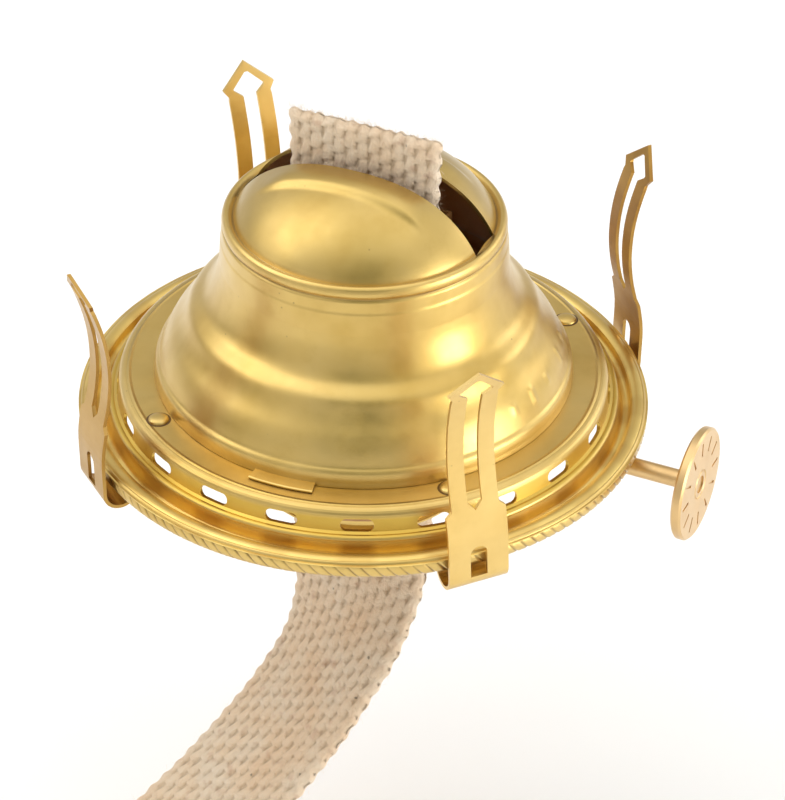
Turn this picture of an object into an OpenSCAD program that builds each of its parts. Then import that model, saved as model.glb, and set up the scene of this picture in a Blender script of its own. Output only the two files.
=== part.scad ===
// Flat-wick oil lamp burner. A screw collar carries a perforated air basket and a gallery,
// four spring prongs grip a glass chimney, and a slotted cone stands over the wick tube.
// A thumbwheel on a cross shaft turns three spur wheels that feed the wick.
//
// Millimetres, +Z up. The origin is the centre of the collar's seat, the plane where the
// collar's flange meets the rim of a lamp's font. +X runs along the wick's width, towards
// the thumbwheel.

/* [Collar] */
// Outside diameter of the collar's thread
thread_d = 31.8; // [31.4:0.1:32.2]
// Length of the thread below the seat
thread_len = 5.1; // [4.5:0.1:6]
// Number of thread turns
thread_turns = 3; // [2:1:4]
// Outside diameter of the flange that rests on the font
seat_d = 36.4; // [35.5:0.1:37.5]

/* [Gallery] */
// Outside diameter of the milled rim
rim_d = 81.2; // [80.6:0.1:82]
// Height of the rim roll's centre above the seat
rim_z = 7; // [6.8:0.1:7.2]
// Radius of the rim roll
roll_r = 1.5; // [1.3:0.1:1.6]
// Radius of the slotted wall at its foot
wall_r = 35.2; // [35:0.1:35.3]
// Height of the deck, the flat ring that the cone stands on
deck_z = 12.7; // [12.5:0.1:13]
// Inside radius of the deck
deck_inner_r = 28.2; // [28:0.1:28.4]
// Thickness of the gallery's sheet
sheet_t = 0.5; // [0.4:0.05:0.55]
// Number of air slots in the wall
slot_count = 21; // [16:1:24]
// Length of an air slot
slot_len = 4.6; // [3.5:0.1:5]
// Height of an air slot
slot_h = 1.8; // [1.4:0.1:2]

/* [Prongs] */
// Width of a prong's base
prong_w = 8.6; // [7.5:0.1:9.5]
// Distance from a prong's bottom to its tip
prong_h = 36.8; // [35.5:0.1:37.5]
// Thickness of the spring strip
prong_t = 0.5; // [0.4:0.05:0.6]

/* [Cone] */
// Outside radius of the cone's foot
cone_r = 29.8; // [29.6:0.1:29.9]
// Radius of the crown where it meets the neck bead
crown_r = 18.45; // [18.3:0.05:18.5]
// Height of the crown's top above the deck
crown_h = 33.85; // [33.5:0.05:34.5]
// Width of the flame slot
flame_slot_w = 6; // [5.4:0.1:6.5]
// Thickness of the cone's sheet
cone_t = 0.45; // [0.35:0.05:0.5]

/* [Wick and feed] */
// Width of the wick
wick_w = 23; // [22.6:0.1:23.2]
// Thickness of the wick
wick_t = 2.4; // [2.2:0.1:2.6]
// Height of the wick's top above the seat
wick_top = 51.9; // [50:0.1:55]
// Length of the wick
wick_len = 152; // [130:1:154]
// Height of the tube's mouth above the seat
tube_top = 40.5; // [38:0.1:41]
// Height of the feed shaft above the seat
shaft_z = 3; // [2.9:0.1:3.1]
// Distance of the feed shaft behind the wick's middle
shaft_y = 6; // [5.95:0.05:6.1]
// Radius of the feed shaft
shaft_r = 1.3; // [1.2:0.05:1.35]
// Distance of the thumbwheel's face from the axis
wheel_x = 49.3; // [48:0.1:51]
// Diameter of the thumbwheel
wheel_d = 16.4; // [14:0.2:17]

/* [Hidden] */
$fn = 96;
brass = "goldenrod";
pale_brass = "burlywood";

thread_r = thread_d / 2;
thread_depth = 0.6;
collar_inner_r = 15;
seat_t = 0.6;
cup_floor_z = -3.4;
rim_r = rim_d / 2;
roll_c = [rim_r - roll_r, rim_z];
basket_t = 0.45;
plate_t = 0.4;
rivet_ring_r = 31.6;
// Direction of each prong from +X, and how far it leans sideways:
// back right, back left, front left, front right
prong_angles = [46.5, 136.5, 230.5, 316.5];
prong_leans = [0, -3.4, 1.5, 2.6];
prong_gap = 0.8;
prong_face_r = rim_r + prong_gap + prong_t;
hook_r = 2.6;
hook_drop = 1.6;
prong_bottom = rim_z - hook_drop - hook_r;
tube_wall = 0.4;
wick_gap = 0.35;
tube_in = [wick_w + 2 * wick_gap, wick_t + 2 * wick_gap];
tube_out = tube_in + [2 * tube_wall, 2 * tube_wall];
tube_bottom = -4.4;
vent_r = 1.6;
vent_y = -tube_out[1] / 2 - vent_r - 0.1;
spur_gap = 0.3;
spur_r = shaft_y - wick_t / 2 - spur_gap;
spur_t = 1.2;
spur_pitch_x = 7.5;
housing_half = 9;
housing_r = spur_r + 1.1;
bearing_r = shaft_r + 0.05;
bush_r = 2.3;

// Points of a circle's arc from angle a0 to angle a1
function arc(c, r, a0, a1, n = 8) =
    [for (i = [0 : n]) let (a = a0 + (a1 - a0) * i / n) c + r * [cos(a), sin(a)]];
// Unit normal on the right-hand side of a path at point i
function right_of(p, i) =
    let (d = p[min(i + 1, len(p) - 1)] - p[max(i - 1, 0)]) [d[1], -d[0]] / norm(d);
// Outline of a strip of thickness t that lies along the right-hand side of a path
function strip(p, t) =
    concat(p, [for (i = [len(p) - 1 : -1 : 0]) p[i] + t * right_of(p, i)]);
// Smooth curve through the points of p, with n steps between neighbours
function smooth(p, n = 6) = [for (i = [0 : len(p) - 2]) for (k = [0 : (i == len(p) - 2 ? n : n - 1)])
    let (t = k / n, a = p[max(i - 1, 0)], b = p[i], c = p[i + 1], d = p[min(i + 2, len(p) - 1)])
    0.5 * (2 * b + (c - a) * t + (2 * a - 5 * b + 4 * c - d) * t * t
        + (3 * b - a - 3 * c + d) * t * t * t)];

// A cylinder along +X
module rod(r, x0, x1) {
    translate([x0, 0, 0]) rotate([0, 90, 0]) cylinder(r = r, h = x1 - x0);
}

// A shape set at the feed shaft's axis
module at_shaft() {
    translate([0, shaft_y, shaft_z]) children();
}

// Slot with round ends, centred, to be extruded
module rounded_slot(length, height) {
    square([length - height, height], center = true);
    for (s = [-1, 1]) translate([s * (length - height) / 2, 0]) circle(d = height);
}

// ---------- Collar and base ----------

// Threaded collar, open inside, with the flange that rests on the font
module screw_collar() {
    pitch = thread_len / thread_turns;
    land = 0.5;
    groove = [for (i = [0 : thread_turns - 1]) let (z = -i * pitch)
        each [[thread_r, z], [thread_r, z - land / 2], [thread_r - thread_depth, z - pitch * 0.42],
            [thread_r - thread_depth, z - pitch * 0.58], [thread_r, z - pitch + land / 2]]];
    color(brass) rotate_extrude() polygon(concat(
        [[collar_inner_r, -thread_len], [collar_inner_r, seat_t], [seat_d / 2, seat_t], [seat_d / 2, 0]],
        groove, [[thread_r, -thread_len]]));
}

// Shallow cup inside the collar that closes the font and holds the tubes
module floor_cup() {
    color(brass) difference() {
        translate([0, 0, cup_floor_z]) cylinder(r = collar_inner_r, h = seat_t - cup_floor_z);
        translate([0, 0, cup_floor_z + basket_t])
            cylinder(r = collar_inner_r - basket_t, h = seat_t - cup_floor_z);
        cube([tube_out[0], tube_out[1], 20], center = true);
        translate([0, vent_y, -10]) cylinder(r = vent_r, h = 20);
    }
}

// Perforated bowl between the collar and the deck, which lets air in under the cone
module air_basket() {
    bottom_r = 20.6;
    bend_r = 26.3;
    bend_z = 5.2;
    top = deck_z - sheet_t;
    hole_d = 2.4;
    hole_count = 30;
    path = [[rivet_ring_r + 1.6, top], [deck_inner_r + 0.4, top], [deck_inner_r, top - 0.4],
        [bend_r, bend_z], [bottom_r, seat_t + basket_t], [collar_inner_r + 0.2, seat_t + basket_t]];
    color(brass) difference() {
        rotate_extrude() polygon(strip([for (i = [len(path) - 1 : -1 : 0]) path[i]], basket_t));
        for (i = [0 : hole_count - 1]) rotate([0, 0, (i + 0.5) * 360 / hole_count]) {
            translate([bend_r + 0.9, 0, 8.4]) rod(hole_d / 2, -4, 4);
            rotate([0, 0, 180 / hole_count]) translate([23.4, 0, 3]) rotate([0, 45, 0])
                rod(hole_d / 2 * 0.85, -2.5, 2.5);
        }
        at_shaft() rod(bush_r, 18, 30);
        rivet_shanks();
    }
}

// ---------- Gallery ----------

// Rim roll, dished flange, slotted wall and deck, pressed from one sheet. The roll's outer side
// is sunk for the milled band, below a thin edge that reaches the full diameter
module gallery() {
    corner_r = 1.3;
    bead_r = 0.6;
    dish_r = 0.85;
    dish_c = [rim_r - 2 * roll_r - 0.15, rim_z + 0.5];
    top_c = [wall_r - 0.4 - corner_r, deck_z - corner_r];
    path = concat([[deck_inner_r, deck_z]], arc(top_c, corner_r, 90, 10, 6),
        [[wall_r - 0.05, deck_z - 3.05]],
        arc([wall_r + 0.55, deck_z - 3.85], bead_r, 110, -10, 8),
        arc(dish_c, dish_r, 185, 325, 9),
        arc(roll_c, roll_r - 0.05, 130, 50, 8),
        arc(roll_c, roll_r - 0.25, 38, -70, 10),
        arc(roll_c, roll_r - 0.05, -80, -115, 4));
    color(brass) difference() {
        union() {
            rotate_extrude() polygon(strip(path, sheet_t));
            rotate_extrude() translate([rim_r - 0.8, rim_z + 0.72]) square([0.8, 0.2]);
        }
        for (i = [0 : slot_count - 1]) rotate([0, 0, 1.9 + i * 360 / slot_count])
            translate([wall_r - 2, 0, deck_z - 2.15]) rotate([90, 0, 90])
                linear_extrude(4) rounded_slot(slot_len, slot_h);
        rivet_shanks();
    }
}

// The four shanks that pass through the deck and the basket's flange
module rivet_shanks() {
    for (direction = prong_angles) rotate([0, 0, direction])
        translate([rivet_ring_r, 0, deck_z - sheet_t - basket_t]) cylinder(r = 0.9, h = sheet_t + basket_t);
}

// Four domed rivets that join the deck to the air basket
module deck_rivets() {
    head_r = 1.5;
    head_h = 0.6;
    ball_r = (head_r * head_r + head_h * head_h) / (2 * head_h);
    color(pale_brass) {
        rivet_shanks();
        for (direction = prong_angles) rotate([0, 0, direction]) translate([rivet_ring_r, 0, 0]) {
            translate([0, 0, deck_z]) intersection() {
                translate([0, 0, head_h - ball_r]) sphere(r = ball_r);
                cylinder(r = head_r + 1, h = head_h + 1);
            }
            translate([0, 0, deck_z - sheet_t - basket_t - 0.4]) cylinder(r = 1.4, h = 0.4);
        }
    }
}

// Perforated plate inside the cone's foot, which spreads the air around the tube
module air_plate() {
    rings = [[15.4, 24], [18.8, 30], [22.2, 36], [25.6, 42]];
    hole_r = 0.8;
    color(brass) translate([0, 0, deck_z]) difference() {
        cylinder(r = cone_r - 1.2, h = plate_t);
        cube([tube_out[0], tube_out[1], 4], center = true);
        translate([0, vent_y, -1]) cylinder(r = vent_r, h = 3);
        for (ring = rings) for (i = [0 : ring[1] - 1]) rotate([0, 0, i * 360 / ring[1]])
            translate([ring[0], 0, -1]) cylinder(r = hole_r, h = 3);
    }
}

// ---------- Prongs ----------

// Side view of a prong: a hook under the rim, then a strip that bows in and flares out
function prong_path() = let (r = prong_face_r, z = rim_z) concat(
    arc([r - hook_r, z - hook_drop], hook_r, -160, 0, 12),
    smooth([[r, z - hook_drop + 1.6], [r, z + 4.2], [r - 0.6, z + 8.2], [r - 1.6, z + 12.7],
        [r - 2, z + 17.2], [r - 1.6, z + 22.2], [r - 0.3, z + 27.2],
        [r + 1.8, prong_bottom + prong_h]], 4));

// Front view of a prong: a broad base, two legs and a gabled cap with a diamond opening
module prong_outline() {
    half = prong_w / 2;
    leg = half - 0.9;
    tip = prong_bottom + prong_h;
    shoulder = rim_z + 8.4;
    difference() {
        polygon([[-half, prong_bottom - 1], [half, prong_bottom - 1], [half, shoulder],
            [leg, shoulder + 0.8], [leg - 0.1, tip - 5.2], [leg - 0.2, tip - 4.6], [half - 0.35, tip - 3.5],
            [0, tip], [0.35 - half, tip - 3.5], [0.2 - leg, tip - 4.6], [0.1 - leg, tip - 5.2],
            [-leg, shoulder + 0.8], [-half, shoulder]]);
        polygon([[0, shoulder + 0.4], [1.05, shoulder + 1.6], [1.05, tip - 4.8], [2.3, tip - 3.8],
            [2.4, tip - 3.5], [0.25, tip - 1.45], [-0.25, tip - 1.45], [-2.4, tip - 3.5],
            [-2.3, tip - 3.8], [-1.05, tip - 4.8], [-1.05, shoulder + 1.6]]);
        translate([-1.2, rim_z - 1.8]) square([2.4, 3.8]);
        translate([0, rim_z + 2]) circle(r = 1.2);
    }
}

// Prong number k, turned to its place on the rim and leaning its own way
module prong(k) {
    path = [for (i = [len(prong_path()) - 1 : -1 : 0]) prong_path()[i]];
    color(pale_brass) rotate([0, 0, prong_angles[k]])
        translate([0, 0, rim_z]) rotate([prong_leans[k], 0, 0]) translate([0, 0, -rim_z])
            intersection() {
                rotate([90, 0, 0]) translate([0, 0, -prong_w / 2 - 1])
                    linear_extrude(prong_w + 2) polygon(strip(path, prong_t));
                translate([30, 0, 0]) rotate([90, 0, 90]) linear_extrude(20) prong_outline();
            }
}

module prong_back_right() {
    prong(0);
}

module prong_back_left() {
    prong(1);
}

module prong_front_left() {
    prong(2);
}

module prong_front_right() {
    prong(3);
}

// ---------- Cone ----------

// Height of the crown above the deck at radius r
function crown_z(r) = let (flat = 2.42, full_r = 20.33, base = 14.62)
    base + (crown_h - base) * pow(1 - pow(r / full_r, flat), 1 / flat);

// Outer surface of the cone, from the crown's middle down to the foot, above the deck
function cone_path() = concat(
    [for (i = [0 : 16]) let (r = crown_r * sin(90 * i / 16)) [r, crown_z(r)]],
    arc([crown_r + 0.5, 25.4], 0.6, 140, -40, 6),
    smooth([[crown_r + 1.2, 24.3], [crown_r + 1.5, 22.5], [crown_r + 1.75, 18.5],
        [crown_r + 2.6, 14.9], [crown_r + 4.15, 11.9]], 4),
    smooth([[crown_r + 4.6, 11.7], [crown_r + 6.1, 10.7], [crown_r + 6.85, 8.6]], 4),
    smooth([[crown_r + 7.3, 8.2], [crown_r + 9.2, 6.2], [cone_r - 1.1, 3.4]], 4),
    arc([cone_r - 1.15, 1.4], 1.15, 75, -70, 6));

// Slotted cone with a domed crown, two raised ribs along the slot and two locking tabs
module deflector_cone() {
    rib_y = 6.9;
    rib_bend_r = 23.5;
    rib_r = 0.9;
    rib_span = 55;
    tab_angle = 17;
    tab_r = 31.6;
    lift = 0.2;
    shell = [for (p = strip(cone_path(), cone_t)) [max(p[0], 0), p[1]]];
    rib_z = crown_z(rib_y) - rib_bend_r - 0.35;
    color(brass) translate([0, 0, deck_z]) {
        difference() {
            union() {
                rotate_extrude() polygon(shell);
                for (s = [-1, 1]) translate([0, s * rib_y, rib_z]) rotate([90, 0, 0])
                    rotate([0, 0, 90 - rib_span / 2]) rotate_extrude(angle = rib_span)
                        translate([rib_bend_r, 0]) circle(r = rib_r);
            }
            translate([0, 0, crown_h - 3]) cube([2 * crown_r - 0.8, flame_slot_w, 20], center = true);
        }
        for (s = [0, 180]) rotate([0, 0, s - 86.5 - tab_angle / 2]) rotate_extrude(angle = tab_angle)
            translate([cone_r - 0.8, lift]) square([tab_r - cone_r + 0.8, cone_t]);
    }
}

// ---------- Tubes ----------

// Flat tube that guides the wick, with windows for the spur wheels
module wick_tube() {
    color(brass) difference() {
        translate([-tube_out[0] / 2, -tube_out[1] / 2, tube_bottom])
            cube([tube_out[0], tube_out[1], tube_top - tube_bottom]);
        translate([-tube_in[0] / 2, -tube_in[1] / 2, tube_bottom - 1])
            cube([tube_in[0], tube_in[1], tube_top - tube_bottom + 2]);
        for (k = [-1 : 1]) translate([k * spur_pitch_x - spur_t, 0, shaft_z - 3])
            cube([2 * spur_t, 4, 6]);
    }
}

// Small tube beside the wick that lets vapour out of the font
module vent_tube() {
    color(brass) translate([0, vent_y, tube_bottom]) difference() {
        cylinder(r = vent_r, h = 24);
        translate([0, 0, -1]) cylinder(r = vent_r - 0.4, h = 26);
    }
}

// ---------- Wick feed ----------

// Sheet cover over the spur wheels, whose end plates carry the shaft
module spur_housing() {
    wall = 0.4;
    end = 0.5;
    color(brass) difference() {
        intersection() {
            at_shaft() rod(housing_r, -housing_half, housing_half);
            translate([-20, tube_out[1] / 2, -20]) cube([40, 20, 40]);
        }
        intersection() {
            at_shaft() rod(housing_r - wall, end - housing_half, housing_half - end);
            translate([-20, 0, -20]) cube([40, 20, 40]);
        }
        at_shaft() rod(bearing_r, -20, 20);
    }
}

// Bush in the air basket's wall that the shaft turns in
module shaft_bush() {
    color(pale_brass) at_shaft() difference() {
        rod(bush_r, 20.4, 27);
        rod(bearing_r, 20, 28);
    }
}

// Cross shaft from the housing to the thumbwheel, headed at its inner end and set a little
// below the wheel's face at the other
module feed_shaft() {
    color(pale_brass) at_shaft() {
        rod(shaft_r, -housing_half - 1, wheel_x - 0.2);
        rod(shaft_r + 0.5, -housing_half - 1, -housing_half - 0.3);
    }
}

// Toothed wheel that bites the wick
module spur_wheel(x) {
    teeth = 12;
    color(pale_brass) at_shaft() translate([x, 0, 0]) rotate([90, 0, 90]) difference() {
        translate([0, 0, -spur_t / 2]) linear_extrude(spur_t) polygon([for (i = [0 : 2 * teeth - 1])
            let (r = i % 2 == 0 ? spur_r : spur_r - 1.1, a = i * 180 / teeth) r * [cos(a), sin(a)]]);
        cylinder(r = shaft_r, h = 10, center = true);
    }
}

module spur_wheel_1() {
    spur_wheel(-spur_pitch_x);
}

module spur_wheel_2() {
    spur_wheel(0);
}

module spur_wheel_3() {
    spur_wheel(spur_pitch_x);
}

// Disc on the shaft's outer end, with a boss behind, and a turned ring and ticks on its face
module thumbwheel() {
    r = wheel_d / 2;
    disc_t = 1.5;
    ring_r = 2.1;
    color(pale_brass) at_shaft() translate([wheel_x, 0, 0]) rotate([90, 0, 90]) difference() {
        rotate_extrude() polygon([[0, 0], [ring_r - 0.2, 0], [ring_r, -0.2], [ring_r + 0.2, 0],
            [r - 0.3, 0], [r, -0.3], [r, 0.3 - disc_t],
            [r - 0.3, -disc_t], [3.4, -disc_t], [2.1, -disc_t - 1], [0, -disc_t - 1]]);
        cylinder(r = shaft_r, h = 10, center = true);
        for (i = [0 : 11]) rotate([0, 0, 30 * i]) translate([r * 0.72, 0, 0])
            cube([2.2, 0.4, 0.3], center = true);
    }
}

// ---------- Wick ----------

// Where the wick leaves its straight run, below the collar
wick_straight_z = -11.5;
// Angle of the wick from straight down, and its turn about the vertical, s mm further on
function wick_bend(s) = 61.2 * (1 - exp(-pow(s / 32.3, 1.5)));
function wick_turn(s) = let (t = min(s / 33, 1)) 34.2 * t * t * (3 - 2 * t);
function wick_step(s) = let (b = wick_bend(s), a = wick_turn(s))
    [-sin(b) * sin(a), -sin(b) * cos(a), -cos(b)];
// Centre of the hanging end after i steps of length d
function wick_centre(i, d) = i == 0 ? [0, 0, wick_straight_z]
    : wick_centre(i - 1, d) + d * wick_step((i - 0.5) * d);

// Flat woven band: straight through the tube, then a free end that curls forwards
module wick() {
    rings = 29;
    d = (wick_len - wick_top + wick_straight_z) / rings;
    corners = [[-1, -1], [1, -1], [1, 1], [-1, 1]];
    top = [for (c = corners) [c[0] * wick_w / 2, c[1] * wick_t / 2, wick_top]];
    hanging = [for (i = [0 : rings]) let (c = wick_centre(i, d), a = wick_turn(i * d), b = wick_bend(i * d),
        across = [cos(a), -sin(a), 0], face = [cos(b) * sin(a), cos(b) * cos(a), -sin(b)])
        each [for (k = corners) c + across * k[0] * wick_w / 2 + face * k[1] * wick_t / 2]];
    points = concat(top, hanging);
    last = len(points) - 4;
    color("linen") polyhedron(points, concat([[0, 1, 2, 3]],
        [for (i = [0 : rings]) for (k = [0 : 3]) let (n = (k + 1) % 4)
            each [[4 * i + k, 4 * i + 4 + k, 4 * i + 4 + n], [4 * i + k, 4 * i + 4 + n, 4 * i + n]]],
        [[last + 3, last + 2, last + 1, last]]));
}

screw_collar();
floor_cup();
air_basket();
gallery();
deck_rivets();
air_plate();
prong_back_right();
prong_back_left();
prong_front_left();
prong_front_right();
deflector_cone();
wick_tube();
vent_tube();
spur_housing();
shaft_bush();
feed_shaft();
spur_wheel_1();
spur_wheel_2();
spur_wheel_3();
thumbwheel();
wick();
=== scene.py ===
import math
import random

import bmesh
import bpy
import numpy as np
from mathutils import Matrix, Vector, noise


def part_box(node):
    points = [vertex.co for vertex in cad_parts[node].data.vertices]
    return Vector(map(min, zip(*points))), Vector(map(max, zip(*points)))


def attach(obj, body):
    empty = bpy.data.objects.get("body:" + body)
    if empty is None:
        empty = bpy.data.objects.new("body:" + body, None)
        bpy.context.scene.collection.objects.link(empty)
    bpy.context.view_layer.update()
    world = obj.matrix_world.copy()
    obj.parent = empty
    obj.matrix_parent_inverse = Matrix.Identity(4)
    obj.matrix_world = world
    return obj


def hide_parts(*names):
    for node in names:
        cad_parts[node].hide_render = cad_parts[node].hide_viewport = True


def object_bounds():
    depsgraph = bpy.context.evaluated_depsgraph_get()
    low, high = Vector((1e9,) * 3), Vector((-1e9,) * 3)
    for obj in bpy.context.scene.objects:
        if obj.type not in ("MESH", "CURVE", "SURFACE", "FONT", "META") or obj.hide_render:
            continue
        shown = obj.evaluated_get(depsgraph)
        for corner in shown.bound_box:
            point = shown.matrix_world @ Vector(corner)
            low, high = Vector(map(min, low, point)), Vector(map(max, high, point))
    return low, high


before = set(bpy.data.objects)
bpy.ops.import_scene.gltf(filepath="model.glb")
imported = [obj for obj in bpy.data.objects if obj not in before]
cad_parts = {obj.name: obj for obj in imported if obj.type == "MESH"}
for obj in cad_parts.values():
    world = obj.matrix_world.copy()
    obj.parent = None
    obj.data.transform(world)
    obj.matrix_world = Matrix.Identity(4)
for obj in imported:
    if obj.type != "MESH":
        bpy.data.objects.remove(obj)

CAD_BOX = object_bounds()
random.seed(7)
scene = bpy.context.scene

# ---------------------------------------------------------------- sizes, from the frame

# Profiles are drawn in millimetres and everything else is in metres
MM = 0.001
_, cone_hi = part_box("deflector_cone")
_, wick_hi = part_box("wick")
_, gallery_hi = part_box("gallery")
deck_z = gallery_hi.z
rim_r = gallery_hi.x

# ---------------------------------------------------------------- camera

AZIMUTH, ELEVATION, CAMERA_ROLL = (math.radians(d) for d in (24.0, 35.17, -0.70))
DISTANCE = 0.500
LENS, SENSOR = 157.2, 36
TARGET = Vector((0.003787, 0.001686, 0.00659))
TO_CAMERA = Vector((math.sin(AZIMUTH) * math.cos(ELEVATION), -math.cos(AZIMUTH) * math.cos(ELEVATION),
                    math.sin(ELEVATION)))


def place_camera():
    back = TO_CAMERA
    level = Vector((math.cos(AZIMUTH), math.sin(AZIMUTH), 0))
    upright = back.cross(level)
    right = level * math.cos(CAMERA_ROLL) - upright * math.sin(CAMERA_ROLL)
    up = level * math.sin(CAMERA_ROLL) + upright * math.cos(CAMERA_ROLL)
    data = bpy.data.cameras.new("camera")
    data.lens = LENS
    data.sensor_width = SENSOR
    data.clip_start, data.clip_end = 0.01, 20
    camera = bpy.data.objects.new("camera", data)
    scene.collection.objects.link(camera)
    camera.matrix_world = Matrix(((right.x, up.x, back.x, 0), (right.y, up.y, back.y, 0),
                                  (right.z, up.z, back.z, 0), (0, 0, 0, 1)))
    camera.location = TARGET + back * DISTANCE
    scene.camera = camera


place_camera()


# ---------------------------------------------------------------- node helper

class Nodes:
    """Short calls for building the node tree of a material or a world."""

    def __init__(self, owner, shader="Principled BSDF"):
        owner.use_nodes = True
        self.owner = owner
        self.tree = owner.node_tree
        self.shader = self.tree.nodes[shader]

    def put(self, kind, inputs=None, **settings):
        node = self.tree.nodes.new(kind)
        for key, value in settings.items():
            setattr(node, key, value)
        for key, value in (inputs or {}).items():
            if isinstance(value, bpy.types.NodeSocket):
                self.tree.links.new(value, node.inputs[key])
            else:
                node.inputs[key].default_value = value
        return node

    def noise(self, vector, scale, detail=3.0, rough=0.5):
        return self.put("ShaderNodeTexNoise", {"Vector": vector, "Scale": scale, "Detail": detail,
                                               "Roughness": rough}).outputs["Fac"]

    def ramp(self, value, stops):
        node = self.put("ShaderNodeValToRGB", {"Fac": value})
        ramp = node.color_ramp
        while len(ramp.elements) < len(stops):
            ramp.elements.new(0.5)
        for element, (place, color) in zip(ramp.elements, stops):
            element.position = place
            element.color = (*color, 1)
        return node.outputs["Color"]

    def range(self, value, a, b, c, d, **settings):
        return self.put("ShaderNodeMapRange", {"Value": value, "From Min": a, "From Max": b,
                                               "To Min": c, "To Max": d}, **settings).outputs["Result"]

    def math(self, kind, a, b=0.0):
        return self.put("ShaderNodeMath", {0: a, 1: b}, operation=kind).outputs[0]

    def mix(self, fac, a, b, kind="MIX"):
        b = (*b, 1) if isinstance(b, tuple) else b
        return self.put("ShaderNodeMix", {0: fac, 6: a, 7: b}, data_type="RGBA",
                        blend_type=kind).outputs[2]

    def scaled(self, vector, scale):
        return self.put("ShaderNodeMapping", {"Vector": vector, "Scale": scale}).outputs["Vector"]

    def bump(self, height, distance, strength=1.0, normal=None):
        node = self.put("ShaderNodeBump", {"Height": height, "Distance": distance,
                                           "Strength": strength})
        if normal is not None:
            self.tree.links.new(normal, node.inputs["Normal"])
        return node.outputs["Normal"]

    def link(self, socket, name):
        self.tree.links.new(socket, self.shader.inputs[name])


# ---------------------------------------------------------------- brass

# Direction of the first air slot and the angle between slots
SLOT_START, SLOT_PITCH = math.radians(1.9), math.radians(360 / 21)

# Radius of the line scored round the deck, and of the crown's lower edge on the cone, in metres
SCORE_R, CROWN_EDGE_R = 0.0333, 0.0181

# Browns of the specks, of the painted shade in creases and grooves, and of the painted reflection of the
# slots in the dish
SPECK_BROWN, RECESS_SHADE_BROWN, SLOT_REFLECTION_BROWN = (0.16, 0.09, 0.03), (0.22, 0.12, 0.03), (0.52, 0.29, 0.05)
# Gold of the gallery wall, a painted reflection of the dish, and of the dish, painted light against its
# own shade
WALL_REFLECTION_GOLD, DISH_LIGHT_GOLD = (0.66, 0.42, 0.03), (0.93, 0.68, 0.20)
# Colour that multiplies the crown's tone: painted shade that lowers its highlight
CROWN_SHADE = (0.85, 0.85, 0.82)


def shade_inside(n, tone, radius, edge):
    """The tone, darkened by painted shade inside the radius edge."""
    shaded = n.mix(1.0, tone, CROWN_SHADE, "MULTIPLY")
    return n.mix(n.range(radius, edge - 0.0005, edge, 1, 0), tone, shaded)


def gallery_painted_light(n, tone, x, y, z):
    """The tone with a deeper gold wall as painted reflection of the dish, a paler dish as painted light
    against its own shade, and a brown patch in the dish below each slot as painted reflection of the slot.
    """
    turn = n.math("DIVIDE", n.math("SUBTRACT", n.math("ARCTAN2", y, x), SLOT_START), SLOT_PITCH)
    from_slot = n.math("SUBTRACT", n.math("FRACT", n.math("ADD", turn, 0.5)), 0.5)
    from_slot = n.math("ABSOLUTE", from_slot)
    below_edge = n.range(z, deck_z - 0.0008, deck_z - 0.0014, 0, 0.7)
    above_bead = n.range(z, deck_z - 0.0036, deck_z - 0.0033, 0, 1)
    dish = n.range(z, deck_z - 0.0041, deck_z - 0.0045, 0, 1)
    tone = n.mix(n.math("MULTIPLY", below_edge, above_bead), tone, WALL_REFLECTION_GOLD)
    tone = n.mix(n.math("MULTIPLY", dish, 0.8), tone, DISH_LIGHT_GOLD)
    return n.mix(n.math("MULTIPLY", dish, n.range(from_slot, 0.15, 0.27, 0.5, 0)), tone, SLOT_REFLECTION_BROWN)


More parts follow.
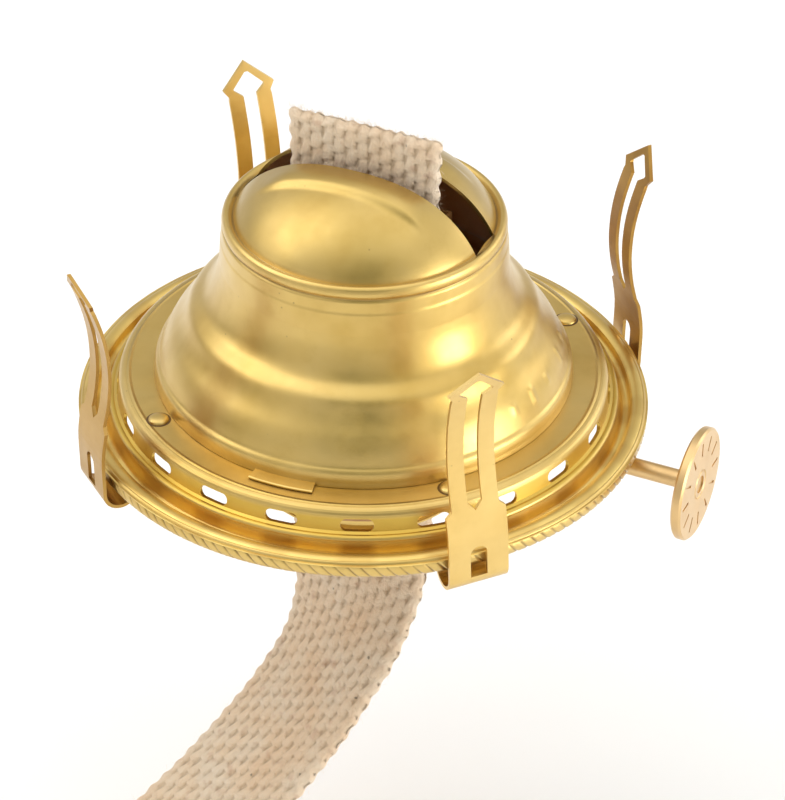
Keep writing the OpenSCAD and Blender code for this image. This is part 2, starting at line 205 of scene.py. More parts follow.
def brass(name, tones, rough=(0.34, 0.46), spun=True, wear=1.0, metallic=1.0, coat=0.7,
          deck=False, crown=False):
    """Satin lacquered brass: mottled tone, faint turned lines, pits, specks and hairline scratches.

    tones are the light, middle and dark of the mottling, and wear scales its blotches and specks.
    Noise scales are per metre, so a scale of 1000 gives features of about a millimetre."""
    light, mid, dark = tones
    n = Nodes(bpy.data.materials.new(name))
    place = n.put("ShaderNodeTexCoord").outputs["Object"]
    x, y, z = n.put("ShaderNodeSeparateXYZ", {"Vector": place}).outputs
    radius = n.math("POWER", n.math("ADD", n.math("MULTIPLY", x, x), n.math("MULTIPLY", y, y)), 0.5)

    cloud = n.noise(place, 55, 4, 0.6)
    tone = n.ramp(cloud, [(0.30, dark), (0.48, mid), (0.72, light)])
    blotch = n.noise(place, 190, 5, 0.7)
    tone = n.mix(n.range(blotch, 0.55, 0.75, 0, 0.35 * wear), tone, dark)
    cells = n.put("ShaderNodeTexVoronoi", {"Vector": place, "Scale": 620.0, "Randomness": 1.0})
    sparse = n.range(n.noise(place, 120, 2, 0.5), 0.60, 0.66, 0, 1)
    speck = n.math("MULTIPLY", n.range(cells.outputs["Distance"], 0.03, 0.11, 1, 0), sparse)
    tone = n.mix(n.math("MULTIPLY", speck, 0.5 * wear), tone, SPECK_BROWN)
    # Painted shade: darker brown in the cone's creases and the rim's grooves
    painted_recess_shade = n.put("ShaderNodeAttribute", attribute_name="painted_recess_shade").outputs["Fac"]
    tone = n.mix(n.math("MULTIPLY", painted_recess_shade, 0.85), tone, RECESS_SHADE_BROWN)
    # Painted shade that darkens the crown inside its lower edge
    if crown:
        tone = shade_inside(n, tone, radius, CROWN_EDGE_R)
    # Painted reflection on the wall and below the slots, and painted light in the dish
    if deck:
        tone = gallery_painted_light(n, tone, x, y, z)
    n.link(tone, "Base Color")

    n.shader.inputs["Metallic"].default_value = metallic
    n.shader.inputs["Coat Weight"].default_value = coat
    n.shader.inputs["Coat Roughness"].default_value = 0.3
    n.shader.inputs["Coat IOR"].default_value = 1.45
    n.link(n.range(n.noise(place, 260, 5, 0.65), 0.3, 0.7, *rough), "Roughness")

    if spun:
        lines = n.noise(n.put("ShaderNodeCombineXYZ", {0: radius, 2: z}).outputs[0], 2600, 3, 0.7)
    else:
        lines = n.noise(n.scaled(place, (1, 1, 0.08)), 3000, 3, 0.7)
    scratch = n.noise(n.scaled(place, (1.0, 0.25, 1.6)), 900, 6, 0.8)
    dent = n.noise(place, 90, 3, 0.5)
    fine = n.bump(lines, 0.00001, 0.35)
    fine = n.bump(scratch, 0.00002, 0.25, fine)
    fine = n.bump(dent, 0.00022, 0.35, fine)
    fine = n.bump(n.math("MULTIPLY", speck, -1.0), 0.00003, 0.6, fine)
    if deck:
        from_score = n.math("ABSOLUTE", n.math("SUBTRACT", radius, SCORE_R))
        on_top = n.range(z, deck_z - 0.0006, deck_z - 0.0004, 0, 1)
        score = n.math("MULTIPLY", n.range(from_score, 0, 0.00035, 1, 0), on_top)
        fine = n.bump(score, 0.00022, 1.0, fine)
    n.link(fine, "Normal")
    return n.owner


GOLD = ((0.74, 0.53, 0.18), (0.68, 0.47, 0.135), (0.58, 0.375, 0.08))
BRASS = brass("brass_spun", GOLD)
BRASS_DECK = brass("brass_deck", GOLD, deck=True)
BRASS_CONE = brass("brass_cone", GOLD, crown=True)
BRASS_PALE = brass("brass_prong", ((0.84, 0.60, 0.22), (0.76, 0.52, 0.17), (0.60, 0.38, 0.10)),
                   rough=(0.30, 0.42), spun=False, wear=0.7, coat=0.4)
# A darker copy of the prong brass for two prongs: painted reflection of a darker floor to their left
BRASS_PRONG_REFLECTING_DARK = brass("brass_prong_dark_reflection", ((0.54, 0.33, 0.095), (0.45, 0.26, 0.06), (0.33, 0.17, 0.035)),
                   rough=(0.30, 0.42), spun=False, wear=0.8, coat=0.2)
BRASS_KNOB = brass("brass_knob", ((0.80, 0.56, 0.27), (0.73, 0.49, 0.22), (0.60, 0.38, 0.14)),
                   spun=False, wear=0.6, coat=0.5)
BRASS_INNER = brass("brass_inner", ((0.48, 0.26, 0.09), (0.36, 0.17, 0.05), (0.22, 0.09, 0.02)),
                    rough=(0.38, 0.55), wear=1.3)
# The cone's inside, far less shiny than its outside and painted a bright orange-brown: painted light
# standing in for light bounced round inside the cone
BRASS_INSIDE_BOUNCE_LIT = brass("brass_inside_bounce_light", ((0.98, 0.58, 0.27), (0.92, 0.50, 0.21), (0.74, 0.35, 0.13)),
                     rough=(0.40, 0.55), spun=False, metallic=0.15)
# The dark rings round the rivets, painted shade round the edges of their heads
RIVET_RING_SHADE = brass("brass_rivet_ring_shade", ((0.20, 0.11, 0.03), (0.14, 0.07, 0.02), (0.08, 0.04, 0.01)),
              rough=(0.5, 0.7))

FINISHES = ((BRASS_DECK, ("gallery",)),
            (BRASS_PRONG_REFLECTING_DARK, ("prong_front_left", "prong_back_right")),
            (BRASS_PALE, ("prong_front_right", "prong_back_left")),
            (BRASS_KNOB, ("thumbwheel", "feed_shaft", "spur_wheel_1", "spur_wheel_2", "spur_wheel_3")),
            (BRASS_INNER, ("air_basket", "air_plate", "wick_tube", "vent_tube", "spur_housing",
                           "floor_cup")))
finish_of = {node: finish for finish, nodes in FINISHES for node in nodes}
for node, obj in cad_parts.items():
    obj.data.materials.clear()
    obj.data.materials.append(finish_of.get(node, BRASS))


# ---------------------------------------------------------------- mesh helpers

def add(name, verts, faces, material, body, smooth=True):
    """A new piece that rides on a body."""
    mesh = bpy.data.meshes.new(name)
    mesh.from_pydata([tuple(v) for v in verts], [], faces)
    mesh.validate()
    obj = bpy.data.objects.new(name, mesh)
    scene.collection.objects.link(obj)
    mesh.materials.append(material)
    if smooth:
        mesh.shade_smooth()
    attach(obj, body)
    return obj


def mark(obj, name, values):
    """Stores one value for each vertex, which a material reads by the same name."""
    attribute = obj.data.attributes.new(name, "FLOAT", "POINT")
    attribute.data.foreach_set("value", values)


def grid(rows, columns, round_rows=False, round_columns=False, base=0):
    """Faces between rows of vertices. Round rows or columns close on the first one."""
    faces = []
    for i in range(rows if round_rows else rows - 1):
        for k in range(columns if round_columns else columns - 1):
            j, m = (i + 1) % rows, (k + 1) % columns
            faces.append((base + i * columns + k, base + i * columns + m,
                          base + j * columns + m, base + j * columns + k))
    return faces


def turned(r, angle, z):
    """The point at radius r and height z in millimetres, turned round the axis by angle."""
    return r * math.cos(angle) * MM, r * math.sin(angle) * MM, z * MM


def even(path, step):
    """The path resampled at even steps, both ends kept."""
    p = np.array(path, float)
    run = np.r_[0, np.cumsum(np.hypot(*np.diff(p, axis=0).T))]
    s = np.linspace(0, run[-1], max(2, int(round(run[-1] / step)) + 1))
    return np.stack([np.interp(s, run, p[:, 0]), np.interp(s, run, p[:, 1])], -1)


def soften(path, step, sigma):
    """The path with its corners rounded by a running average of width sigma."""
    p = even(path, step)
    reach = int(3 * sigma / step) + 1
    weights = np.exp(-0.5 * (np.arange(-reach, reach + 1) * step / sigma) ** 2)
    weights /= weights.sum()
    padded = np.concatenate([2 * p[0] - p[reach:0:-1], p, 2 * p[-1] - p[-2:-reach - 2:-1]])
    return np.stack([np.convolve(padded[:, k], weights, "valid") for k in (0, 1)], -1)


def offset(path, distance):
    """The path moved to its right by distance."""
    d = np.gradient(path, axis=0)
    d /= np.hypot(d[:, 0], d[:, 1])[:, None]
    return path + distance * np.stack([d[:, 1], -d[:, 0]], -1)


def lathe(name, loop, material, body, count, shape):
    """Turns a closed loop of (r, z) in millimetres round the axis, each point moved out by shape."""
    loop = np.array(loop, float)
    normal = np.roll(loop, -1, 0) - np.roll(loop, 1, 0)
    normal /= np.hypot(normal[:, 0], normal[:, 1])[:, None] + 1e-12
    verts = []
    for i in range(count):
        a = 2 * math.pi * i / count
        for k, (r, z) in enumerate(loop):
            move = shape(r, z, a, k)
            verts.append(turned(r - move * normal[k][1], a, z + move * normal[k][0]))
    return add(name, verts, grid(count, len(loop), True, True), material, body)


def smooth_step(x, a, b):
    """0 up to a, 1 from b on, and an even S between them."""
    t = min(max((x - a) / (b - a), 0.0), 1.0)
    return t * t * (3 - 2 * t)


# ---------------------------------------------------------------- cone, in millimetres

DECK = deck_z / MM
CONE_R, CONE_T = cone_hi.x / MM, 0.45

# The crown's section is part of a superellipse: its half width, height, power and base above the deck
CROWN_HALF, CROWN_HIGH, CROWN_POWER, CROWN_BASE = 20.33, 19.23, 2.42, 14.62
# Radius where the crown ends, and the number of steps out to it
CROWN_R, CROWN_STEPS = 17.95, 60

# Bottoms of the two creases, inside the collar's bead and below it, as (r, height above the deck)
SEAM, CREASE = (18.25, 25.02), (19.52, 23.92)

# Half sizes of the slot for the flame, and a height above the deck that the whole slot is above
SLOT_HALF_X, SLOT_HALF_Y, SLOT_FLOOR = 18.05, 3, 16

# Plain raised bars on the flank: their directions in degrees, then their middle height above the deck,
# half width, half length of every second one and of the others, and how far they stand out
BAR_ANGLES = (-17, -8, 1, 14, 24)
BAR_Z, BAR_HALF, BAR_LONG, BAR_SHORT, BAR_HIGH = 5.4, 0.2, 0.9, 0.5, 0.16

# Directions of the two tabs and the angle that each one spans, in degrees
TAB_MIDDLES, TAB_SPAN = (-86.5, 93.5), 17


def cone_profile():
    """Outer side of the cone as (r, height above the deck), from the middle of the crown to its foot."""
    crown_r = [CROWN_R * math.sin(math.pi / 2 * i / CROWN_STEPS) for i in range(CROWN_STEPS + 1)]
    crown = even([(r, CROWN_BASE + CROWN_HIGH * (1 - (r / CROWN_HALF) ** CROWN_POWER) ** (1 / CROWN_POWER))
                  for r in crown_r], 0.4)
    collar = soften([tuple(crown[-1]), SEAM, (18.5, 25.30), (18.85, 25.62), (19.25, 25.68),
                     (19.62, 25.35), (19.80, 24.8), (19.78, 24.3), CREASE, (19.82, 23.55),
                     (19.9, 21.9), (20.02, 21.6), (20.2, 18.5)], 0.10, 0.13)
    flare = soften([(20.2, 18.5), (20.45, 16.8), (21.0, 15.0), (21.7, 13.3), (22.6, 12.0), (23.5, 11.5),
                    (24.5, 10.7), (25.15, 9.2), (25.9, 8.0), (27.2, 6.4), (28.2, 4.6), (28.75, 3.1)],
                   0.35, 0.62)
    foot = soften([(28.75, 3.1), (28.9, 2.75), (29.2, 2.5), (29.45, 2.1), (29.58, 1.4), (29.62, 0.7),
                   (29.7, 0.3), (29.72, 0.06)], 0.14, 0.15)
    return [tuple(p) for p in np.concatenate([crown, collar[1:], flare[1:], foot[1:]])]


def bar(u, v, half_u, half_v, soft):
    """1 inside a rounded bar of the given half sizes, fading to 0 over soft."""
    d = math.hypot(max(abs(u) - half_u, 0), max(abs(v) - half_v, 0))
    return 1 - smooth_step(d, 0, soft)


def cone_shape(outer):
    """How far each point moves out, for a loop whose first `outer` points are its outer side."""
    def shape(r, z, a, k):
        x, y = r * math.cos(a), r * math.sin(a)
        up = z - DECK
        move = 0.0
        # A rib on each side of the slot, on the crown
        if up > 25.7 and r < 18:
            rib = smooth_step(abs(y), 2.2, 6.3) * (1 - smooth_step(abs(y), 6.9, 8.2))
            move += 0.55 * rib * (1 - smooth_step(abs(x), 8.5, 14.0))
        # The raised bars
        if 2.6 < up < 8.0 and k < outer:
            for i, angle in enumerate(BAR_ANGLES):
                u = (a - math.radians(angle) + math.pi) % (2 * math.pi) - math.pi
                length = BAR_LONG if i % 2 else BAR_SHORT
                move += BAR_HIGH * bar(u * r, up - BAR_Z, BAR_HALF, length, 0.35)
        move += 0.05 * noise.noise(Vector((x / 9, y / 9, z / 9)))
        return move if k < outer else -move
    return shape


def cut_slot(obj, half_x, half_y, floor):
    """Opens a rectangular slot through both skins of a sheet above floor, and closes its edges."""
    bm = bmesh.new()
    bm.from_mesh(obj.data)
    margin = 1.5 * MM

    def inside(face, more):
        c = face.calc_center_median()
        return c.z > floor and abs(c.x) < half_x + more and abs(c.y) < half_y + more

    for co, no in (((half_x, 0, 0), (1, 0, 0)), ((-half_x, 0, 0), (1, 0, 0)),
                   ((0, half_y, 0), (0, 1, 0)), ((0, -half_y, 0), (0, 1, 0))):
        faces = [f for f in bm.faces if inside(f, margin)]
        edges = {e for f in faces for e in f.edges}
        points = {v for f in faces for v in f.verts}
        bmesh.ops.bisect_plane(bm, geom=faces + list(edges) + list(points), plane_co=co, plane_no=no,
                               dist=1e-8)
    bmesh.ops.delete(bm, geom=[f for f in bm.faces if inside(f, 0)], context="FACES")
    bmesh.ops.bridge_loops(bm, edges=[e for e in bm.edges if e.is_boundary])
    bmesh.ops.recalc_face_normals(bm, faces=bm.faces)
    bm.to_mesh(obj.data)
    bm.free()
    obj.data.shade_smooth()
    obj.data.set_sharp_from_angle(angle=math.radians(40))


def build_cone():
    outer = np.array(cone_profile())
    inner = offset(outer, CONE_T)[::-1][::2]
    # Both skins keep a tiny hole on the axis, which the slot cuts away
    inner[:, 0] = np.maximum(inner[:, 0], 0.02)
    outer[0, 0] = 0.02
    loop = np.concatenate([outer, inner]) + [0, DECK]
    obj = lathe("cone_sheet", loop, BRASS_CONE, "cone", 384, cone_shape(len(outer)))
    obj.data.materials.append(BRASS_INSIDE_BOUNCE_LIT)
    for i, polygon in enumerate(obj.data.polygons):
        polygon.material_index = 1 if i % len(loop) >= len(outer) else 0
    cut_slot(obj, SLOT_HALF_X * MM, SLOT_HALF_Y * MM, (DECK + SLOT_FLOOR) * MM)
    # Painted shade along the collar's seam and the crease below it, made patchy
    painted_recess_shade = []
    for v in obj.data.vertices:
        here = Vector((math.hypot(v.co.x, v.co.y) / MM, v.co.z / MM - DECK))
        gap = min((here - Vector(place)).length for place in (SEAM, CREASE))
        patchy = 0.75 + 0.5 * noise.noise(v.co * 160)
        painted_recess_shade.append(patchy * (1 - smooth_step(gap, 0.05, 0.30)))
    mark(obj, "painted_recess_shade", painted_recess_shade)
    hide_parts("deflector_cone")


def build_tab(name, middle):
    """A thin curved tab that sticks out of the cone's foot onto the deck."""
    steps = 12
    # Section as (r, height above the deck)
    rows = [(CONE_R - 1.0, 0.12), (31.45, 0.08), (31.6, 0.14), (31.6, 0.34), (31.4, 0.44),
            (CONE_R - 1.0, 0.55)]
    m = len(rows)
    verts = [turned(r, math.radians(middle - TAB_SPAN / 2 + TAB_SPAN * i / steps), DECK + z)
             for i in range(steps + 1) for r, z in rows]
    # The section runs the other way round than the grid expects, so its faces are turned over
    faces = [(a, d, c, b) for a, b, c, d in grid(steps + 1, m, round_columns=True)]
    faces += [tuple(range(m - 1, -1, -1)), tuple(range(steps * m, (steps + 1) * m))]
    tab = add(name, verts, faces, BRASS, "cone", smooth=False)


build_cone()
for k, middle in enumerate(TAB_MIDDLES):
    build_tab("cone_tab_%d" % (k + 1), middle)

# ---------------------------------------------------------------- milled rim, in millimetres

# Centre of the band's section, as (r, z)
BAND = (rim_r / MM - 1.6, 7.0)
# Where the section starts and ends round its centre, in degrees, and its radius there, hidden in the roll
BAND_TOP, BAND_END, BAND_FOOT_R = 58, -92, 1.40
# Radius of the squared section between them, its squareness, and the size of the grooves and their lips
BAND_R, SQUARENESS, GROOVE_DEEP, LIP_HIGH = 1.56, 2.3, 0.12, 0.03
GROOVES, PER_GROOVE, SECTION_POINTS = 146, 16, 44


def build_milled_rim():
    """The milled band in the roll's sunk outer side, cut with slanted grooves that fade at its ends."""
    angles = np.linspace(BAND_TOP, BAND_END, SECTION_POINTS)
    count = GROOVES * PER_GROOVE
    verts, painted_recess_shade = [], []
    for i in range(count):
        a = 2 * math.pi * i / count
        for t in angles:
            # Place between two grooves, -0.5 to 0.5, slanted along the section
            phase = (GROOVES * a / (2 * math.pi) + (t - 10) / 80) % 1 - 0.5
            ends = smooth_step(t, -84, -72) * (1 - smooth_step(t, 24, 31))
            wear = min(1.0, 0.85 + 0.4 * noise.noise(Vector((math.cos(a) * 9, math.sin(a) * 9, t / 40))))
            groove = ends * wear * math.exp(-(phase / 0.12) ** 2)
            lip = ends * wear * math.exp(-((phase - 0.22) / 0.09) ** 2)
            c, s = math.cos(math.radians(t)), math.sin(math.radians(t))
            square = (abs(c) ** SQUARENESS + abs(s) ** SQUARENESS) ** (-1 / SQUARENESS)
            proud = smooth_step(BAND_TOP - t, 0, 9) * smooth_step(t - BAND_END, 0, 9)
            r = BAND_FOOT_R + (BAND_R * square - BAND_FOOT_R) * proud
            r += LIP_HIGH * lip - GROOVE_DEEP * groove
            verts.append(turned(BAND[0] + r * c, a, BAND[1] + r * s))
            # Painted shade in the grooves
            painted_recess_shade.append(groove ** 1.5)
    obj = add("milled_rim", verts, grid(count, SECTION_POINTS, round_rows=True), BRASS, "burner")
    mark(obj, "painted_recess_shade", painted_recess_shade)


build_milled_rim()

# ---------------------------------------------------------------- rivet heads

# Directions of the rivets in degrees, and the radius of the circle that they stand on
RIVET_ANGLES = (46.5, 136.5, 230.5, 316.5)
RIVET_RING = 31.6
# Sections as (r, z) in millimetres from the rivet's axis and the deck
HEAD = [(0.0, 0.60), (0.5, 0.58), (0.95, 0.50), (1.25, 0.37), (1.42, 0.2), (1.46, 0.05), (1.46, -0.1)]
DARK_RING = [(1.40, 0.03), (1.62, 0.035), (1.74, 0.01)]


def build_rivets():
    """Flat-domed heads on the deck, each in a thin dark ring of painted shade round its edge."""
    centres = [turned(RIVET_RING, math.radians(a), 0) for a in RIVET_ANGLES]
    steps = 48
    for name, rows, material in (("rivet_heads", HEAD, BRASS), ("rivet_rings", DARK_RING, RIVET_RING_SHADE)):
        verts, faces = [], []
        for cx, cy, _ in centres:
            faces += grid(steps, len(rows), round_rows=True, base=len(verts))
            for i in range(steps):
                for point in rows:
                    x, y, z = turned(point[0], 2 * math.pi * i / steps, point[1])
                    verts.append((cx + x, cy + y, deck_z + z))
        obj = add(name, verts, faces, material, "burner")
        if name == "rivet_heads":
            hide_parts("deck_rivets")


build_rivets()


# ---------------------------------------------------------------- wick, in metres

def wick_material():
    """Cream cotton: painted shade between the stitches and in their pits, warm patches, dark specks and a
    fine fuzz.
    """
    n = Nodes(bpy.data.materials.new("wick_cotton"))
    place = n.put("ShaderNodeTexCoord").outputs["Object"]
    cloud = n.noise(place, 120, 4, 0.6)
    tone = n.ramp(cloud, [(0.3, (0.98, 0.71, 0.465)), (0.5, (1.0, 0.78, 0.55)), (0.7, (1.0, 0.84, 0.645))])
    low = n.put("ShaderNodeAttribute", attribute_name="stitch_shade").outputs["Fac"]
    # Painted shade: darker brown between the stitches and in their pits
    tone = n.mix(n.math("MULTIPLY", low, 0.80), tone, (0.50, 0.33, 0.17))
    warm = n.noise(place, 420, 2, 0.5)
    tone = n.mix(n.range(warm, 0.60, 0.72, 0, 0.35), tone, (0.62, 0.34, 0.20))
    speck = n.noise(place, 620, 1, 0.5)
    tone = n.mix(n.range(speck, 0.77, 0.80, 0, 0.7), tone, (0.17, 0.12, 0.07))
    n.link(tone, "Base Color")
    n.shader.inputs["Roughness"].default_value = 0.95
    n.shader.inputs["Sheen Weight"].default_value = 0.35
    n.shader.inputs["Sheen Roughness"].default_value = 0.5
    n.shader.inputs["Specular IOR Level"].default_value = 0.2
    fuzz = n.noise(place, 1500, 6, 0.75)
    strands = n.noise(n.scaled(place, (1, 1, 0.28)), 4200, 3, 0.6)
    n.link(n.bump(strands, 0.00025, 0.7, n.bump(fuzz, 0.0005, 0.8)), "Normal")
    return n.owner


WICK = wick_material()
WICK_W, WICK_T, WICK_LEN = 0.023, 0.0024, 0.152
# The knit stands a little proud of the CAD wick's top
WICK_TOP = wick_hi.z + 0.0005
# Height where the hanging part starts, and length of the straight run above it
BEND_Z = -0.0115
STRAIGHT = WICK_TOP - BEND_Z
# The hanging part's final bend and turn, and the lengths over which they come about
BEND, BEND_RUN, TURN, TURN_RUN = math.radians(61.2), 0.0323, math.radians(34.2), 0.033

# Width of a column of stitches, length of a stitch, height of the knit above its ground, and depth of
# the pits beside the stitches
COLUMN, STITCH, KNIT, PIT_DEEP = WICK_W / 13, 0.0027, 0.00042, 0.00020
# Even and uneven waves of the edges, and how far edges and faces are drawn in to leave room for the relief
SCALLOP, SCALLOP_NOISE, EDGE_IN, FACE_IN = 0.00020, 0.00016, 0.00038, 0.00008
# How much wider the top is on each side, and the length over which that fades
FLARE, FLARE_RUN = 0.0002, 0.009
# Lengths over which the cut top and the cut lower end are uneven, and over which both are rounded
TOP_RUN, END_RUN, ROUND_RUN = 0.004, 0.003, 0.0011
# Steps along the band and across each of its faces
ROWS, ACROSS = 690, 128


def wick_angles(s):
    """Bend from straight down, and turn about the vertical, s metres below the straight run."""
    t = min(s / TURN_RUN, 1)
    return BEND * (1 - math.exp(-(s / BEND_RUN) ** 1.5)), TURN * t * t * (3 - 2 * t)


def wick_frames():
    """Centre, across and face vectors at even steps from the wick's top to its end."""
    out = []
    centre = Vector((0, 0, WICK_TOP))
    last = 0.0
    for i in range(ROWS + 1):
        s = WICK_LEN * i / ROWS
        for k in range(4):
            mid = last + (s - last) * (k + 0.5) / 4
            bend, turn = wick_angles(max(mid - STRAIGHT, 0.0))
            centre = centre + (s - last) / 4 * Vector((-math.sin(bend) * math.sin(turn),
                                                       -math.sin(bend) * math.cos(turn), -math.cos(bend)))
        last = s
        bend, turn = wick_angles(max(s - STRAIGHT, 0.0))
        across = Vector((math.cos(turn), -math.sin(turn), 0))
        face = Vector((math.cos(bend) * math.sin(turn), math.cos(bend) * math.cos(turn), -math.sin(bend)))
        out.append((centre.copy(), across, face))
    return out


def stitch(u, s, side):
    """Height of the knit, 0 to 1, and depth of the pit beside a stitch, at u across and s along.

    Each column is half a stitch out of step with the next, and every stitch leans and swells by chance."""
    wobble = 0.0002 * noise.noise(Vector((u * 260, s * 260, side * 9.0)))
    column = (u + wobble) / COLUMN + 0.5
    index = math.floor(column)
    x = column - index - 0.5
    drift = 0.22 * noise.noise(Vector((index * 3.7, s * 70, side * 5.0)))
    row = s / STITCH + 0.5 * (index % 2) + drift
    cell = math.floor(row)
    y = row - cell - 0.5
    chance = 0.5 + 0.5 * noise.noise(Vector((index * 1.93, cell * 2.31, side * 3.0)))
    x -= side * (0.28 + 0.24 * chance) * y
    wide = 0.55 + 0.10 * chance
    body = max(0.0, 1 - abs(x / wide) ** 2.0) ** 0.5 * max(0.0, 1 - abs(y / 0.66) ** 2.4) ** 0.5
    pit = math.exp(-((x + 0.42) / 0.14) ** 2 - ((y + 0.12) / 0.32) ** 2) * smooth_step(chance, 0.30, 0.65)
    return body, pit


def selvedge(u):
    """1 on the two puffed edges of the band, 0 inside."""
    return smooth_step(abs(u), 0.90, 0.95)


def build_wick():
    """The knitted band as one closed skin, its two sides joined at the edges and capped at the ends."""
    verts, stitch_shade = [], []
    half_w, half_t = WICK_W / 2, WICK_T / 2
    around = []
    for side in (-1, 1):
        for i in range(ACROSS + 1):
            u = -1 + 2 * i / ACROSS
            around.append((u if side < 0 else -u, side))
    for j, (centre, across, face) in enumerate(wick_frames()):
        s = WICK_LEN * j / ROWS
        scallop = SCALLOP * math.sin(2 * math.pi * s / STITCH)
        scallop += SCALLOP_NOISE * noise.noise(Vector((0, s * 180, 4)))
        near_top = max(0.0, 1 - s / TOP_RUN)
        near_end = max(0.0, 1 - (WICK_LEN - s) / END_RUN)
        flare = FLARE * max(0.0, 1 - s / FLARE_RUN)
        close = min(1.0, s / ROUND_RUN, (WICK_LEN - s) / ROUND_RUN)
        close = math.sqrt(max(0.01, 1 - (1 - close) ** 2))
        for u, side in around:
            h, pit = stitch(u * half_w, s, side)
            edge = selvedge(u)
            h = h * (1 - edge) + edge * (0.9 + 0.1 * math.sin(2 * math.pi * s / STITCH + 1.5))
            pit *= 1 - edge
            rim = math.sqrt(max(0.0, 1 - abs(u) ** 16))
            x = u * (half_w - EDGE_IN + scallop * abs(u) ** 8 + flare)
            z = side * rim * close * (half_t - KNIT - FACE_IN + KNIT * h - PIT_DEEP * pit)
            fuzz = noise.noise(Vector((x * 1500, s * 1500, side)))
            lump = math.cos(2 * math.pi * u * half_w / COLUMN)
            dip = near_top * (0.00012 * (1 - lump) + 0.00035 * (0.5 + noise.noise(Vector((u * 12, 3, 0)))))
            dip -= near_end * 0.0002 * lump
            verts.append(centre + across * x + face * (z + side * 0.00002 * fuzz)
                         - Vector((0, 0, 1)) * dip)
            # Painted shade, deepest between the stitches and in the pits
            stitch_shade.append(min(1.0, 0.50 * (1 - h) ** 1.3 + 0.85 * pit))
    loop = len(around)
    faces = grid(ROWS + 1, loop, round_columns=True)
    faces += [tuple(range(loop - 1, -1, -1)), tuple(range(ROWS * loop, (ROWS + 1) * loop))]
    obj = add("wick_cloth", verts, faces, WICK, "wick_band")
    mark(obj, "stitch_shade", stitch_shade)
    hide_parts("wick")
    return obj


FIBRES, FIBRE_POINTS = 1500, 5
# Shares of the fibres at the top, at the lower end and on the edges, each added to the ones before.
# The rest stand on the two faces.
TOP_SHARE, END_SHARE, EDGE_SHARE = 0.40, 0.45, 0.85


def build_fibres():
    """Loose cotton fibres, most of them along the band's cut ends and edges."""
    frames = wick_frames()
    verts, faces = [], []
    for _ in range(FIBRES):
        kind = random.random()
        if kind < TOP_SHARE:
            j, u = random.randint(0, 4), random.uniform(-1, 1)
        elif kind < END_SHARE:
            j, u = random.randint(ROWS - 4, ROWS), random.uniform(-1, 1)
        elif kind < EDGE_SHARE:
            j, u = random.randint(0, ROWS), random.choice((-1, 1)) * random.uniform(0.95, 0.99)
        else:
            j, u = random.randint(0, ROWS), random.uniform(-0.95, 0.95)
        centre, across, face = frames[j]
        along = across.cross(face)
        along = along if along.z > 0 else -along
        side = random.choice((-1, 1))
        deep = 0.3 if kind < END_SHARE else 0.85
        p = centre + across * u * WICK_W / 2
        out = random.uniform(0.0, deep) * (WICK_T / 2 - 0.0004)
        scatter = Vector((random.gauss(0, 0.5), random.gauss(0, 0.5), random.gauss(0, 0.5)))
        if kind < TOP_SHARE:
            way = along + 0.5 * face * side + scatter
        elif kind < END_SHARE:
            way = -along + 0.5 * face * side + scatter
        elif kind < EDGE_SHARE:
            way = across * (1 if u > 0 else -1) + along * random.uniform(-1, 1) + 0.5 * scatter
        else:
            out = WICK_T / 2 - 0.0001
            way = 0.35 * face * side + along * random.uniform(-1, 1) + scatter * 0.6
        p += face * side * out
        way.normalize()
        length = random.uniform(0.0004, 0.0013)
        thick = random.uniform(0.000008, 0.000016)
        curl = Vector((random.gauss(0, 1), random.gauss(0, 1), random.gauss(0, 1))) * 0.5
        faces += grid(FIBRE_POINTS, 3, round_columns=True, base=len(verts))
        for step in range(FIBRE_POINTS):
            a = way.orthogonal().normalized()
            b = way.cross(a)
            r = thick * (1 - 0.15 * step)
            verts += [p + a * r, p - a * r * 0.5 + b * r * 0.87, p - a * r * 0.5 - b * r * 0.87]
            way = (way + curl * 0.3).normalized()
            p = p + way * length / (FIBRE_POINTS - 1)
    obj = add("wick_fibres", verts, faces, WICK, "wick_band")
    return obj


wick = build_wick()
fibres = build_fibres()


# ---------------------------------------------------------------- floor, world and lights

def build_floor():
    """A plain pale floor at the height of the CAD's lowest point."""
    half, z = 4, CAD_BOX[0].z
    mesh = bpy.data.meshes.new("floor")
    mesh.from_pydata([(-half, -half, z), (half, -half, z), (half, half, z), (-half, half, z)], [],
                     [(0, 1, 2, 3)])
    floor = bpy.data.objects.new("floor", mesh)
    scene.collection.objects.link(floor)
    n = Nodes(bpy.data.materials.new("floor_paint"))
    place = n.put("ShaderNodeTexCoord").outputs["Object"]
    shade = n.ramp(n.noise(place, 3, 2, 0.5), [(0.3, (0.965, 0.965, 0.965)), (0.7, (0.98, 0.98, 0.98))])
    n.link(shade, "Base Color")
    n.shader.inputs["Roughness"].default_value = 0.9
    mesh.materials.append(n.owner)


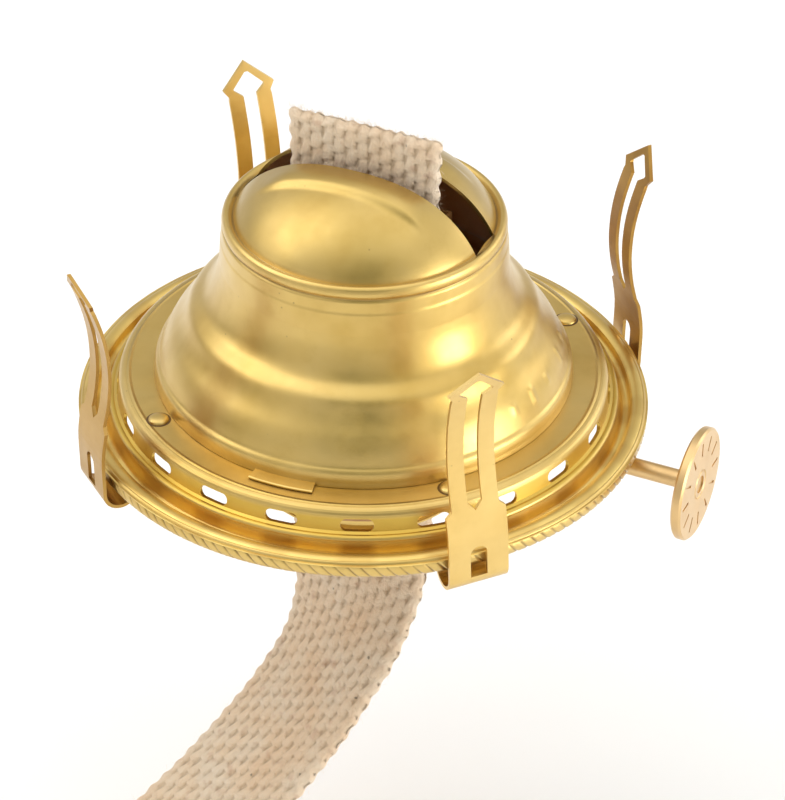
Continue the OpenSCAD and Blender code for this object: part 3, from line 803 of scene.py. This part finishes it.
# Darker parts of the room that the brass reflects: direction, half width and softness in degrees, colour
PATCHES = [(TO_CAMERA, 20, 10, (0.22, 0.23, 0.15)),
           ((0.19, -0.36, 0.91), 15, 10, (0.55, 0.55, 0.46)),
           ((-0.88, -0.44, 0.02), 24, 14, (0.25, 0.23, 0.19)),
           ((-0.30, 0.76, 0.50), 26, 14, (0.62, 0.60, 0.52))]


def studio_world():
    """Pale room light, dimmer low down, with the darker patches."""
    n = Nodes(bpy.data.worlds.new("studio"), "Background")
    direction = n.put("ShaderNodeTexCoord").outputs["Generated"]
    height = n.put("ShaderNodeSeparateXYZ", {"Vector": direction}).outputs[2]
    color = n.ramp(height, [(place, (value, value, value))
                            for place, value in ((0.0, 0.62), (0.35, 0.80), (1.0, 1.0))])
    for aim, wide, soft, value in PATCHES:
        dot = n.put("ShaderNodeVectorMath", {0: direction, 1: Vector(aim).normalized()},
                    operation="DOT_PRODUCT")
        far, near = (math.cos(math.radians(angle)) for angle in (wide + soft, wide - soft))
        fade = n.range(dot.outputs["Value"], far, near, 0, 1, interpolation_type="SMOOTHSTEP")
        color = n.mix(fade, color, value)
    n.link(color, "Color")
    n.shader.inputs["Strength"].default_value = 0.92
    scene.world = n.owner


# Point that the lights face
LIGHT_AIM = Vector((0, 0, 0.02))


def softbox(name, aim_from, far, size, power):
    """A rectangular light that faces the object from a direction, far metres away."""
    data = bpy.data.lights.new(name, "AREA")
    data.shape = "RECTANGLE"
    data.size, data.size_y = size
    data.energy = power
    obj = bpy.data.objects.new(name, data)
    scene.collection.objects.link(obj)
    direction = Vector(aim_from).normalized()
    obj.location = LIGHT_AIM + direction * far
    obj.rotation_mode = "QUATERNION"
    obj.rotation_quaternion = direction.to_track_quat("Z", "Y")


scene.view_settings.view_transform = "Standard"
build_floor()
studio_world()
softbox("key", (-0.62, -0.24, 0.75), 0.8, (0.64, 0.64), 1.3)
softbox("left", (-0.82, -0.35, 0.45), 0.8, (0.42, 0.42), 0.78)
softbox("side", (0.97, -0.02, 0.06), 0.7, (0.28, 0.36), 2.2)
softbox("behind", (0.63, 0.71, 0.31), 0.8, (0.40, 0.30), 0.8)
softbox("above", (0.05, -0.05, 1.0), 1.3, (1.8, 1.8), 6)
